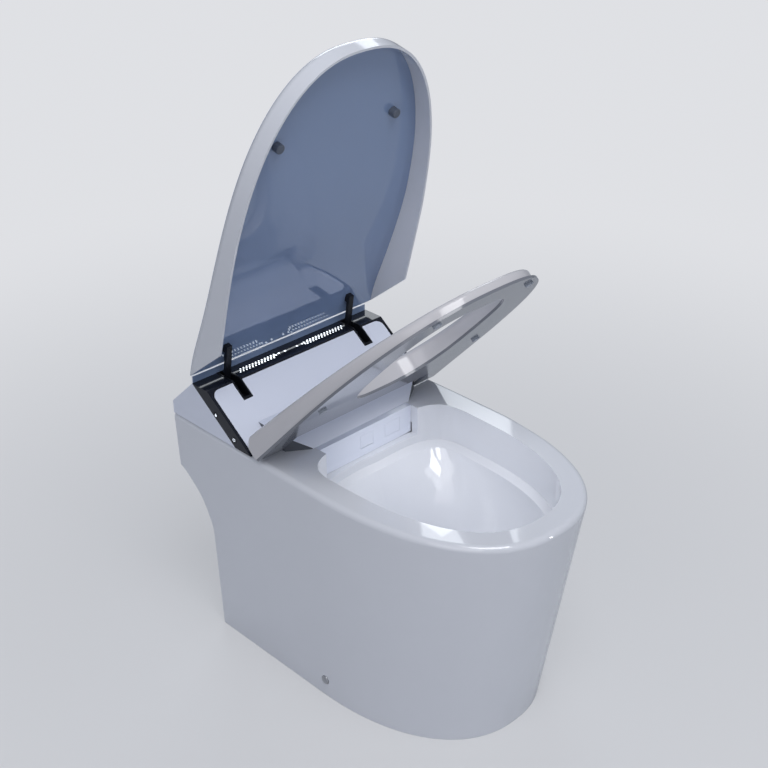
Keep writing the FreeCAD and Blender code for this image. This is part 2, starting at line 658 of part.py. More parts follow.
def chassis():
    z0, z1 = DECK_Z, CHASSIS_TOP_Z
    half_w = BODY_HALF_W - SHELL - 0.5
    plate = box(-half_w, half_w, PANEL_FOOT_Y + 12, REAR_Y - SHELL - 6, z0, z1)
    tube_way = box(-22, 22, PANEL_FOOT_Y, 150, z0 - 1, z1 + 1)
    valve_way = cyl_z(VALVE_R + 1, z0 - 1, z1 + 1, VALVE_X, VALVE_Y)
    motor_way = cyl_z(9, z0 - 1, z1 + 1, FAN_X, FAN_Y)
    plate = plate.cut(tube_way).cut(valve_way).cut(motor_way)
    add("chassis", plate)


# ------------------------------------------------------------------ machine
def lid_drive():
    y, z = LID_AXIS_Y, LID_AXIS_Z
    foot_z = CHASSIS_TOP_Z
    shaft_end = ARM_X + ARM_W / 2 + 5.5
    drive_x = shaft_end + 2.0
    add("lid_shaft", cyl_x(LID_SHAFT_R, -shaft_end, shaft_end, y, z))
    bore = cyl_x(LID_SHAFT_R + RUN_GAP, -300, 300, y, z)
    block_x = ARM_X - ARM_W / 2 - 11.5
    block = box(block_x - 10, block_x, y - 12, y + 12, foot_z, z + 12)
    foot = box(block_x - 16, block_x + 6, y - 12, y + 12, foot_z, foot_z + 4)
    block = block.fuse(foot).removeSplitter()
    add("lid_bearings", Part.Compound([b.cut(bore) for b in both_sides(block)]))
    motor = cyl_x(14.5, drive_x, drive_x + 38, y, z)
    cradle = box(drive_x + 4, drive_x + 34, y - 10, y + 10, foot_z, z - 8)
    spindle = cyl_x(LID_SHAFT_R - 1, shaft_end + FACE_GAP, drive_x, y, z)
    add("lid_motor", fuse([motor, cradle, spindle]))
    damper = cyl_x(12, -drive_x - 34, -drive_x, y, z)
    post = box(-drive_x - 28, -drive_x - 8, y - 8, y + 8, foot_z, z - 8)
    nose = cyl_x(LID_SHAFT_R - 1, -drive_x, -shaft_end - FACE_GAP, y, z)
    add("lid_damper", fuse([damper, post, nose]))


def arm_profile():
    """A closed arm seen from the side: a bar from the shaft to the lid's lining."""
    y, z = LID_AXIS_Y, LID_AXIS_Z
    half = ARM_T / 2
    end_y, end_z = y - ARM_REACH, z + ARM_RISE
    return [(y, z - half), (y, z + half), (end_y + 14, end_z + half - 1),
            (end_y + 14, liner_z(end_y + 14)), (end_y, liner_z(end_y)), (end_y, end_z - half)]


def lid_arms():
    for name, sign in (("lid_arm_left", -1), ("lid_arm_right", 1)):
        x0, x1 = sign * ARM_X - ARM_W / 2, sign * ARM_X + ARM_W / 2
        arm = prism_x(arm_profile(), x0, x1)
        arm = arm.fuse(cyl_x(ARM_HUB_R, x0, x1, LID_AXIS_Y, LID_AXIS_Z)).removeSplitter()
        arm = arm.cut(cyl_x(LID_SHAFT_R, x0 - 1, x1 + 1, LID_AXIS_Y, LID_AXIS_Z))
        add(name, open_lid(arm))


def top_z(y):
    """Height of the lid's top at y, by straight steps between its given heights."""
    for (y0, h0), (y1, h1) in zip(LID_TOP, LID_TOP[1:]):
        if y >= y1:
            return LID_RIM_Z + h0 + (h1 - h0) * (y - y0) / (y1 - y0)
    return LID_RIM_Z + LID_TOP[-1][1]


def liner_z(y):
    """Underside of the lid's lining."""
    return top_z(y) - LID_SKIN - LINER_T


def lid_profile(drop, rear_y, bottom_z):
    """A solid under the lid's top curve, lowered by drop."""
    curve_points = [V(-300, y, LID_RIM_Z + h - drop) for y, h in LID_TOP]
    curve = spline(curve_points)
    first, last = curve_points[0], curve_points[-1]
    ring = [last, V(-300, last.y, bottom_z), V(-300, first.y, bottom_z), first]
    edges = [curve] + [Part.LineSegment(a, b).toShape() for a, b in zip(ring, ring[1:])]
    solid = Part.Face(Part.Wire(edges)).extrude(V(600, 0, 0))
    return solid.common(box(-400, 400, -500, rear_y, 0, 1000))


def diagonal_cut(gap):
    """What the lid's rear leaves free over the sloping panel."""
    y0, z0 = LID_RIM_REAR_Y - gap, LID_RIM_Z
    far = 160
    run = far / math.tan(SLOPE)
    return prism_x([(y0, z0), (y0 + run, z0 + far), (y0 + 400, z0 + far), (y0 + 400, z0 - 30),
                    (y0 - 30 / math.tan(SLOPE), z0 - 30)], -400, 400)


def lid_plan(inset, z0, z1):
    return d_prism(LID_HALF_W - inset, LID_REAR_Y, LID_STRAIGHT_Y, LID_FRONT_Y + inset,
                   LID_POWER, z0, z1)


def lid():
    wall = LID_WALL
    outer = lid_plan(0, LID_RIM_Z, LID_RIM_Z + 120).common(lid_profile(0, LID_REAR_Y, 400))
    outer = outer.removeSplitter()
    brim = edges_at(outer, lambda e: e.BoundBox.ZMin > LID_RIM_Z + 20
                    and e.BoundBox.YMin < LID_REAR_Y - 1 and e.BoundBox.YLength > 100)
    outer = outer.makeFillet(LID_ROUND, brim)
    outer = outer.cut(diagonal_cut(0))
    hollow = lid_plan(wall, LID_RIM_Z - 5, LID_RIM_Z + 120).common(
        lid_profile(LID_SKIN, LID_REAR_Y - LID_REAR_WALL, 400))
    shell = outer.cut(hollow)
    add("lid_shell", open_lid(shell))
    plate = lid_plan(wall + 0.2, LID_RIM_Z - 5, LID_RIM_Z + 120).common(
        lid_profile(LID_SKIN + 0.2, LID_REAR_Y - LID_REAR_WALL - 0.2, 400))
    plate = plate.cut(lid_profile(LID_SKIN + LINER_T, LID_REAR_Y, 400)).cut(diagonal_cut(0))
    add("lid_liner", open_lid(plate))
    top = liner_z(LID_BUMPER_Y)
    low = seat_top_z(LID_BUMPER_Y) + FACE_GAP
    bumper = cyl_z(LID_BUMPER_R, low, top - 0.4, LID_BUMPER_X, LID_BUMPER_Y)
    bumper = bumper.makeFillet(2.0, edges_at(bumper, lambda e: e.BoundBox.ZMax < low + 0.1))
    add("lid_bumpers", Part.Compound([open_lid(b) for b in both_sides(bumper)]))


# ------------------------------------------------------------------ seat
def seat_top_z(y):
    f = (y - SEAT_FRONT_Y) / (SEAT_AXIS_Y - SEAT_FRONT_Y)
    return SEAT_TOP_FRONT_Z + (SEAT_TOP_REAR_Z - SEAT_TOP_FRONT_Z) * f


def seat_profile(drop, rear_trim):
    """The seat's side view: a wedge with a trimmed rear end."""
    y_end = SEAT_REAR_Y - rear_trim
    return prism_x([(-420, SEAT_BOTTOM_Z - 1 if rear_trim else SEAT_BOTTOM_Z),
                    (y_end - 6, SEAT_BOTTOM_Z - 1 if rear_trim else SEAT_BOTTOM_Z),
                    (y_end, SEAT_BOTTOM_Z + 8), (y_end, SEAT_AXIS_Z + 12 - drop),
                    (y_end - 18, seat_top_z(y_end - 18) - drop),
                    (-420, seat_top_z(-420) - drop)], -400, 400)


def seat_plan(inset, z0, z1, upper):
    """The seat from above: the base is fuller at the front than the top, which the lid covers."""
    if upper:
        edge = LID_WALL + SEAT_CLEAR + inset
        ring = d_prism(LID_HALF_W - edge, SEAT_REAR_Y - inset, LID_STRAIGHT_Y,
                       LID_FRONT_Y + edge, LID_POWER, z0, z1)
    else:
        ring = d_prism(SEAT_HALF_W - inset, SEAT_REAR_Y - inset, SEAT_STRAIGHT_Y,
                       SEAT_FRONT_Y + inset, SEAT_POWER, z0, z1)
    notch_w = LUG_X + inset
    notch = box(-notch_w, notch_w, SEAT_NOTCH_Y - inset, 300, z0 - 1, z1 + 1)
    return ring.cut(notch)


def seat_hole(grow, z0, z1):
    return oval_prism(HOLE_HALF_W + grow, HOLE_REAR_Y + grow, HOLE_FRONT_Y - grow,
                      HOLE_POWER, z0, z1)


def seat():
    split_z = SEAT_BOTTOM_Z + SEAT_SPLIT
    base = seat_plan(0, SEAT_BOTTOM_Z, split_z, False).common(seat_profile(0, 0))
    base = base.cut(seat_hole(0, 400, 520))
    top = seat_plan(0, split_z, 500, True).common(seat_profile(0, 0))
    top = top.cut(seat_hole(0, 400, 520)).removeSplitter()
    rim = edges_at(top, lambda e: e.BoundBox.ZMin > SEAT_TOP_FRONT_Z - 2
                   and e.BoundBox.YMax < SEAT_AXIS_Y + 1 and e.BoundBox.YLength > 60)
    top = top.makeFillet(SEAT_ROUND, rim)
    cavity = seat_plan(6, split_z - 1, 500, True).common(seat_profile(5, 12))
    cavity = cavity.cut(seat_hole(6, 400, 520))
    cavity = cavity.common(box(-400, 400, -500, SEAT_NOTCH_Y - 6, split_z - 1, 600))
    top = top.cut(cavity)
    heater = seat_plan(7, split_z, 500, True).common(seat_profile(5.2, 12))
    heater = heater.cut(seat_hole(7, 400, 520))
    heater = heater.common(box(-400, 400, -500, SEAT_NOTCH_Y - 8, split_z, 600))
    lower = seat_profile(6.6, 12)
    heater = heater.cut(lower)
    pin_hole = Part.Compound(both_sides(cyl_x(SEAT_PIN_R, LUG_X - 1, LUG_X + SEAT_PIN_IN,
                                              SEAT_AXIS_Y, SEAT_AXIS_Z)))
    base, top = base.cut(pin_hole), top.cut(pin_hole)
    add("seat_base", open_seat(base.removeSplitter()))
    add("seat_top", open_seat(top))
    add("seat_heater", open_seat(heater))
    pin = cyl_x(SEAT_PIN_R, LUG_X + SEAT_PIN_IN - SEAT_PIN_LENGTH, LUG_X + SEAT_PIN_IN - 0.3,
                SEAT_AXIS_Y, SEAT_AXIS_Z)
    add("seat_pins", Part.Compound([open_seat(p) for p in both_sides(pin)]))
    feet = []
    for x, y in SEAT_BUMPERS:
        foot = cyl_z(SEAT_BUMPER_R, RIM_Z + FACE_GAP, SEAT_BOTTOM_Z, x, y)
        feet.extend(open_seat(f) for f in both_sides(foot))
    add("seat_bumpers", Part.Compound(feet))


def seat_drive():
    y, z = SEAT_AXIS_Y, SEAT_AXIS_Z
    pin_inner = LUG_X + SEAT_PIN_IN - SEAT_PIN_LENGTH
    shaft = cyl_x(SEAT_PIN_R, SEAT_SHAFT_X0, pin_inner - FACE_GAP, y, z)
    add("seat_shaft", shaft)
    bore = cyl_x(SEAT_PIN_R + RUN_GAP, -300, 300, y, z)
    hub = cyl_x(HUB_R, HUB_X0, HUB_X1, y, z).cut(bore)
    add("seat_clutch", hub)
    block = [(y - 28, DECK_Z), (y + 12, DECK_Z), (y + 12, z + 7.4), (y - 6, z + 7.4)]
    blocks = [prism_x(block, x0, x1).cut(bore) for x0, x1 in ((-98, -84), (84, 98))]
    add("seat_bearings", Part.Compound(blocks))
    add("seat_gear_unit", prism_x(block, -116, -101).cut(bore))


# ------------------------------------------------------------------ wand
def on_wand(shape):
    """Place a shape drawn with Y back along the wand and Z up from it."""
    placed = shape.copy()
    placed.rotate(V(0, 0, 0), X_AXIS, WAND_TILT)
    placed.translate(V(0, WAND_TIP_Y, WAND_TIP_Z))
    return placed


PITCH = math.pi * MODULE
PINION_R = MODULE * PINION_TEETH / 2
PITCH_DROP = WAND_R + 2.6   # pitch line of the rack below the wand's axis


def wand():
    tube = Part.makeCylinder(WAND_R, WAND_LENGTH, V(0, 18, 0), Y_AXIS)
    rack_root = -PITCH_DROP + TOOTH_H
    bar = box(-RACK_W / 2, RACK_W / 2, PINION_BACK - 12, 18 + WAND_LENGTH - 2,
              rack_root, -WAND_R + 3)
    flank = TOOTH_H * math.tan(math.radians(20))
    teeth = []
    count = int((WAND_TRAVEL + 16) / PITCH)
    for i in range(count):
        mid = PINION_BACK + i * PITCH
        root, tip = TOOTH_W / 2 + flank, TOOTH_W / 2 - flank
        teeth.append(prism_x([(mid - root, rack_root), (mid - tip, -PITCH_DROP - TOOTH_H + 0.3),
                              (mid + tip, -PITCH_DROP - TOOTH_H + 0.3), (mid + root, rack_root)],
                             -RACK_W / 2, RACK_W / 2))
    rear_bar = tube.fuse([bar] + teeth).removeSplitter()
    bore = Part.makeCylinder(WAND_R - 2, WAND_LENGTH - 4, V(0, 16, 0), Y_AXIS)
    add("wand_tube", on_wand(rear_bar.cut(bore)))
    tip = Part.makeCylinder(WAND_R, 13.5, V(0, 4.2, 0), Y_AXIS)
    spigot = Part.makeCylinder(WAND_R - 2.05, 6, V(0, 17.7, 0), Y_AXIS)
    jets = [cyl_z(1.0, 2, WAND_R + 1, x, y) for x, y in ((0, 8), (-2.5, 11), (2.5, 11), (0, 14))]
    add("wand_tip", on_wand(tip.fuse(spigot).cut(Part.Compound(jets)).removeSplitter()))
    half = DOOR_W / 2 - DOOR_GAP
    door = box(-half, half, WAND_FACE_Y, WAND_FACE_Y + DOOR_T, DOOR_Z0 + DOOR_FOOT_GAP,
               DOOR_Z1 - DOOR_GAP)
    neck = on_wand(Part.makeCylinder(4.0, 8, V(0, -3.7, 0), Y_AXIS))
    neck = neck.common(box(-20, 20, WAND_FACE_Y + DOOR_T, 80, 350, 450))
    neck = neck.cut(on_wand(Part.makeCylinder(WAND_R + 1, 20, V(0, 4.2, 0), Y_AXIS)))
    add("wand_shutter", fuse([door, neck]))


def pinion():
    y, z = PINION_BACK, -PITCH_DROP - PINION_R
    root_r = PINION_R - TOOTH_H
    disc = cyl_x(root_r, -RACK_W / 2, RACK_W / 2, 0, 0)
    flank = TOOTH_H * math.tan(math.radians(20))
    wide, thin = TOOTH_W / 2 + flank, TOOTH_W / 2 - flank
    teeth = []
    for i in range(PINION_TEETH):
        tooth = prism_x([(-wide, root_r - 0.6), (wide, root_r - 0.6),
                         (thin, PINION_R + TOOTH_H - 0.3), (-thin, PINION_R + TOOTH_H - 0.3)],
                        -RACK_W / 2, RACK_W / 2)
        # a gap faces the rack's tooth, so the first tooth is half a pitch away
        tooth.rotate(V(0, 0, 0), X_AXIS, 360.0 * (i + 0.5) / PINION_TEETH)
        teeth.append(tooth)
    axle = cyl_x(2.5, -7, 9.0, 0, 0)
    gear = disc.fuse(teeth + [axle]).removeSplitter()
    gear.translate(V(0, y, z))
    add("wand_pinion", on_wand(gear))
    motor = cyl_x(11.5, 9.3, 34, y, z)
    lug = box(12, 32, y - 6, y + 6, z - 22.6, z)
    add("wand_motor", on_wand(motor.fuse(lug).removeSplitter()))


def wand_housing():
    t = 3.0
    y0, y1 = WAND_FACE_Y, POCKET_FRONT_Y + 1
    floor_z, lip_z, lip_y = NOTCH_FLOOR_Z + NOTCH_CLEAR, RIM_Z - WAND_LIP, BRIDGE_FRONT_Y + t
    inner_w = WAND_HALF_W - t
    outer = box(-WAND_HALF_W, WAND_HALF_W, y0, y1, floor_z, RIM_Z)
    under_lip = box(-inner_w, inner_w, y0 + t, y1 + 1, floor_z + t, lip_z)
    behind_lip = box(-inner_w, inner_w, lip_y, y1 + 1, lip_z, RIM_Z + 1)
    body = outer.cut(under_lip.fuse(behind_lip))
    body = body.cut(box(-DOOR_W / 2, DOOR_W / 2, y0 - 1, y0 + t + 1, DOOR_Z0, DOOR_Z1))
    body = body.cut(box(FLAP_X0, FLAP_X1, y0 - 1, y0 + t + 1, DOOR_Z0, DOOR_Z1))
    body = body.cut(cyl_x(FLAP_PIN_R + RUN_GAP, FLAP_X0 - 2.3, FLAP_X1 + 2.3, FLAP_AXIS_Y,
                          DOOR_Z1 - FLAP_AXIS_DROP))
    add("wand_housing", body)
    guide_y = 153.0
    guide = box(-30, 30, guide_y, guide_y + 16, CHASSIS_TOP_Z, 457)
    tunnel = Part.makeCylinder(WAND_R + 0.1, 300, V(0, 0, 0), Y_AXIS)
    groove = box(-RACK_W / 2 - 0.4, RACK_W / 2 + 0.4, 0, 300, -PITCH_DROP - TOOTH_H - 0.2, 0)
    add("wand_guide", guide.cut(on_wand(tunnel)).cut(on_wand(groove)))


def dryer():
    top = RIM_Z
    case = cyl_z(FAN_R, FAN_Z0, top, FAN_X, FAN_Y)
    duct_x0, duct_x1 = FLAP_X0 + 1, FLAP_X1 - 1
    duct_y0 = WAND_FACE_Y + 3.6
    duct_z0, duct_z1 = DOOR_Z0 + 1.5, DOOR_Z1 - 1
    duct = box(duct_x0, duct_x1, duct_y0, FAN_Y, duct_z0, duct_z1)
    w = DUCT_WALL
    scroll = cyl_z(FAN_R - w, FAN_Z0 + w, top - w, FAN_X, FAN_Y)
    way = box(duct_x0 + w, duct_x1 - w, duct_y0 - 1, FAN_Y, duct_z0 + w, duct_z1 - w)
    eye = cyl_z(16, FAN_Z0 - 1, FAN_Z0 + w + 1, FAN_X, FAN_Y)
    case = case.fuse(duct).removeSplitter().cut(scroll.fuse([way, eye]))
    case = case.cut(cyl_z(4.0, top - w - 1, top + 1, FAN_X, FAN_Y))
    add("fan_case", case)
    z0 = FAN_Z0 + w + 2.0
    hub = cyl_z(8, z0, z0 + IMPELLER_H, FAN_X, FAN_Y)
    disc = cyl_z(IMPELLER_R, z0 + IMPELLER_H - 2, z0 + IMPELLER_H, FAN_X, FAN_Y)
    blades = []
    for i in range(12):
        blade = box(17, IMPELLER_R - 1, -0.8, 0.8, z0, z0 + IMPELLER_H - 2)
        blade.rotate(V(18, 0, 0), Z_AXIS, 28)
        blade.rotate(V(0, 0, 0), Z_AXIS, 30.0 * i)
        blade.translate(V(FAN_X, FAN_Y, 0))
        blades.append(blade)
    axle = cyl_z(3.0, z0 + IMPELLER_H, top + 8, FAN_X, FAN_Y)
    add("fan_impeller", fuse([hub, disc, axle] + blades))
    deck = CHASSIS_TOP_Z
    motor = cyl_z(15, deck, deck + 24, FAN_X, FAN_Y).cut(
        cyl_z(3.0 + RUN_GAP, deck - 1, top + 8 + FACE_GAP, FAN_X, FAN_Y))
    add("fan_motor", motor)
    mid_z = (duct_z0 + duct_z1) / 2
    bars = [box(duct_x0 + w + 0.2, duct_x1 - w - 0.2, y, y + 1.2, duct_z0 + w + 0.2,
                duct_z1 - w - 0.2) for y in (70, 76, 82, 88)]
    spine = box((duct_x0 + duct_x1) / 2 - 2, (duct_x0 + duct_x1) / 2 + 2, 70, 89, mid_z - 2,
                mid_z + 2)
    grid = fuse(bars + [spine])
    slots = [box(x, x + 2.0, 60, 100, duct_z0 + w + 2, mid_z - 3) for x in (49, 53, 57, 63, 67, 71)]
    slots += [box(x, x + 2.0, 60, 100, mid_z + 3, duct_z1 - w - 2) for x in (49, 53, 57, 63, 67, 71)]
    add("dryer_heater", grid.cut(Part.Compound(slots)))
    g = DOOR_GAP
    flap = box(FLAP_X0 + g, FLAP_X1 - g, WAND_FACE_Y, WAND_FACE_Y + DOOR_T, DOOR_Z0 + g,
               DOOR_Z1 - g)
    nose = edges_at(flap, lambda e: e.BoundBox.YMax < WAND_FACE_Y + 0.1
                    and e.BoundBox.ZMin > DOOR_Z1 - g - 0.1)
    flap = flap.makeFillet(1.2, nose)
    pin = cyl_x(FLAP_PIN_R, FLAP_X0 - 2, FLAP_X1 + 2, FLAP_AXIS_Y, DOOR_Z1 - FLAP_AXIS_DROP)
    add("dryer_flap", fuse([flap, pin]))


def on_chassis(block):
    x0, x1, y0, y1, height = block
    return box(x0, x1, y0, y1, CHASSIS_TOP_Z, CHASSIS_TOP_Z + height)


def upright_edges(shape):
    return edges_at(shape, lambda e: e.BoundBox.ZLength > 20)


def water_parts():
    top = CHASSIS_TOP_Z + TANK[4]
    tank = on_chassis(TANK)
    tank = tank.makeFillet(5, upright_edges(tank))
    necks = [cyl_z(5, top, top + 7, x, TANK[3] - 12) for x in (TANK[0] + 14, TANK[1] - 14)]
    add("heater_tank", fuse([tank] + necks))
    diverter = on_chassis(DIVERTER)
    top = CHASSIS_TOP_Z + DIVERTER[4]
    mid_x, mid_y = (DIVERTER[0] + DIVERTER[1]) / 2, (DIVERTER[2] + DIVERTER[3]) / 2
    add("diverter_valve", fuse([diverter, cyl_z(10, top, top + 12, mid_x, mid_y)]))
    pump_z = RIM_Z - PUMP_DROP
    pump = cyl_x(PUMP_R, PUMP_X0, PUMP_X1, PUMP_Y, pump_z)
    flange = box(PUMP_X0 + 4, PUMP_X0 + 30, PUMP_Y - 14, PUMP_Y + 14, pump_z + 10, RIM_Z)
    add("water_pump", fuse([pump, flange, cyl_x(6, PUMP_X1, PUMP_X1 + 14, PUMP_Y, pump_z)]))
    z0 = POCKET_FLOOR_Z
    valve = cyl_z(VALVE_R, z0, z0 + VALVE_H, VALVE_X, VALVE_Y)
    cap = cyl_z(VALVE_R - 6, z0 + VALVE_H, RIM_Z + VALVE_CAP_RISE, VALVE_X, VALVE_Y)
    pipe = cyl_z(VALVE_PIPE_R, z0 - 12, z0, VALVE_X, VALVE_Y)
    add("flush_valve", fuse([valve, cap, pipe]))


def connections():
    """The water inlet with its valve, and the cord's gland, in the rear wall."""
    inner_y, end_y = REAR_Y - SHELL, REAR_Y + STUB
    body = cyl_y(11.6, REAR_Y - 48, REAR_Y - 14, INLET_X, INLET_Z + 2)
    body = body.cut(box(-400, 400, 0, 400, 300, CHASSIS_TOP_Z))
    coil = cyl_z(9, INLET_Z + 4, INLET_Z + 26, INLET_X, REAR_Y - 38)
    nose = cyl_y(6, REAR_Y - 14, inner_y - 0.5, INLET_X, INLET_Z)
    add("inlet_valve", fuse([body, coil, nose]))
    thread = cyl_y(INLET_R, REAR_Y + THREAD_RELIEF, end_y, INLET_X, INLET_Z)
    neck = cyl_y(NECK_R, inner_y - 0.4, REAR_Y + THREAD_RELIEF, INLET_X, INLET_Z)
    stub = thread.fuse(neck).removeSplitter()
    add("water_inlet", stub.cut(cyl_y(INLET_R - 3, REAR_Y - 2, end_y + 1, INLET_X, INLET_Z)))
    gland = cyl_y(GLAND_R, inner_y - 4, end_y, GLAND_X, INLET_Z)
    collar = cyl_y(GLAND_R + 2.4, inner_y - 4, inner_y - 0.2, GLAND_X, INLET_Z)
    gland = gland.fuse(collar).removeSplitter()
    add("power_gland", gland.cut(cyl_y(CORD_R, REAR_Y - 30, end_y + 1, GLAND_X, INLET_Z)))


def electrics():
    deck = CHASSIS_TOP_Z
    board = box(BOARD_X0, BOARD_X1, BOARD_Y, BOARD_Y + BOARD_T, deck, deck + BOARD_H)
    foot = box(BOARD_X0, BOARD_X1, BOARD_Y - 4, BOARD_Y + 5, deck, deck + 3)
    chips = [box(BOARD_X0 + 8 + 24 * i, BOARD_X0 + 22 + 24 * i, BOARD_Y - 6, BOARD_Y, deck + 6,
                 deck + 20) for i in range(6)]
    add("control_board", fuse([board, foot] + chips))
    case = on_chassis(SUPPLY)
    case = case.makeFillet(3, upright_edges(case))
    add("power_supply", case.cut(cyl_y(GLAND_R + 4, SUPPLY[3] - 10, REAR_Y, GLAND_X, INLET_Z)))
    add("odour_filter", on_chassis(FILTER))


def buttons():
    """Two push buttons in the left side face, and the strip with their contacts."""
    deck = CHASSIS_TOP_Z
    x0 = -BODY_HALF_W + SHELL + 3.0
    strip = prism_x([(112, deck), (136, deck), (188, 466), (178, 474), (160, 470), (112, 434)],
                    x0 + 2, x0 + 3.6)
    strip = strip.common(box(-300, 300, 0, 300, deck, 500))
    domes = [cyl_x(3, x0 + 0.6, x0 + 2, y, z) for y, z in BUTTONS]
    add("button_board", fuse([strip] + domes))
    for name, (y, z) in zip(("flush_button", "power_button"), BUTTONS):
        head = cyl_x(BUTTON_R, -BODY_HALF_W - 0.4, -BODY_HALF_W + SHELL + 0.3, y, z)
        head = head.makeFillet(0.5, edges_at(head, lambda e: e.BoundBox.XMax
                                             < -BODY_HALF_W - 0.3))
        rim = cyl_x(BUTTON_R + 1.5, -BODY_HALF_W + SHELL + 0.3, -BODY_HALF_W + SHELL + 1.5, y, z)
        add(name, fuse([head, rim]))


# ------------------------------------------------------------------ build
def build():
    add("ceramic_bowl", ceramic_bowl())
    for make in (fixings, housing, slot_trims, hinge_cover, bridge, chassis, lid_drive,
                 lid_arms, lid, seat,
                 seat_drive, wand, pinion, wand_housing, dryer, water_parts, connections,
                 electrics, buttons):
        make()
    os.makedirs("parts", exist_ok=True)
    for name, shape in NODES.items():
        shape.exportStep("parts/" + name + ".step")
        print("%-16s solids %2d  valid %s  volume %9.1f cm3" % (
            name, len(shape.Solids), shape.isValid(), shape.Volume / 1000))


build()
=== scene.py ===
import math

import bmesh
import bpy
from mathutils import Matrix, Vector


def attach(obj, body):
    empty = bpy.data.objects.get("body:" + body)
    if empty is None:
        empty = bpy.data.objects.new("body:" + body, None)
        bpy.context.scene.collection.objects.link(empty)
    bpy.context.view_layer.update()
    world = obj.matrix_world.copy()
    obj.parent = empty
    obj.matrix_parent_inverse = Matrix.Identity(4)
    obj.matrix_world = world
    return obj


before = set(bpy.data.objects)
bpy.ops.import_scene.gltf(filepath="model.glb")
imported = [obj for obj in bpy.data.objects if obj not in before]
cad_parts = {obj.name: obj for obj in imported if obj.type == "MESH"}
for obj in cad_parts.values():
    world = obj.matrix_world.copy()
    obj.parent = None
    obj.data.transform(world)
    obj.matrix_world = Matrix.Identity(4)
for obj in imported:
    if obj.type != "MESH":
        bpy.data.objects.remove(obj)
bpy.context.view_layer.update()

MM = 0.001

# places that the pieces of this file share, in millimetres
BAR_TOP_Z = 501.0
HALF_W = 200.0
BUTTON_PLACES = [(172.0, 465.0), (127.0, 436.0)]        # y and z, upper and lower
BRIDGE_END_X = 108.0
LID_MOUTH_HALF_W = 206.0
LID_MOUTH_Y = (225.0, 232.0)
LID_MOUTH_Z = (515.0, 521.2)

# the lit row: three staggered rows of dots
LAMP_ROW_Y = 210.5
LAMP_PITCH = 6.75
LAMP_ROWS_APART = 4.6
LAMP_HEIGHT = 0.5
LEFT_FIRST_X, LEFT_COUNT, LEFT_SIZE = -114.0, 12, 2.0
RIGHT_FIRST_X, RIGHT_COUNT, RIGHT_SIZE = 37.5, 13, 2.8
SIZE_STEP = 0.07
MIDDLE_WIDTH = 3.0
MIDDLE_DOTS = [(-35.0, 0.0, 2.8), (-27.0, 2.2, 4.2), (-13.5, 1.2, 4.2), (13.5, 0.6, 3.6),
               (25.6, 0.6, 3.4), (31.2, 2.6, 2.8), (30.0, -2.8, 2.8)]    # x, y offset, length

# the marks on the side buttons
ICON_X = -HALF_W - 0.45
DROP_R = 2.5
DROP_LOWER = 0.8
RING_R = 2.7
RING_WIRE_R = 0.38
RING_OPEN_DEG = 35

# the view, in millimetres and in pixels of the image
CAMERA_PLACE = (-1356.4, -1411.3, 1589.5)
CAMERA_TARGET = (0.0, -20.5, 520.4)
CAMERA_ROLL = -0.006
FOCAL_PX = 1359.417
IMAGE_PX = 768.0
SENSOR_MM = 36.0

BACKDROP = (0.74, 0.75, 0.78, 1)


# ------------------------------------------------------------------ node groups
def new_group(name, inputs, outputs):
    """An empty node group with typed sockets."""
    group = bpy.data.node_groups.new(name, "ShaderNodeTree")
    for label, kind, value in inputs:
        socket = group.interface.new_socket(name=label, in_out="INPUT", socket_type=kind)
        if value is not None:
            socket.default_value = value
    for label, kind in outputs:
        group.interface.new_socket(name=label, in_out="OUTPUT", socket_type=kind)
    return group, group.nodes.new("NodeGroupInput"), group.nodes.new("NodeGroupOutput")


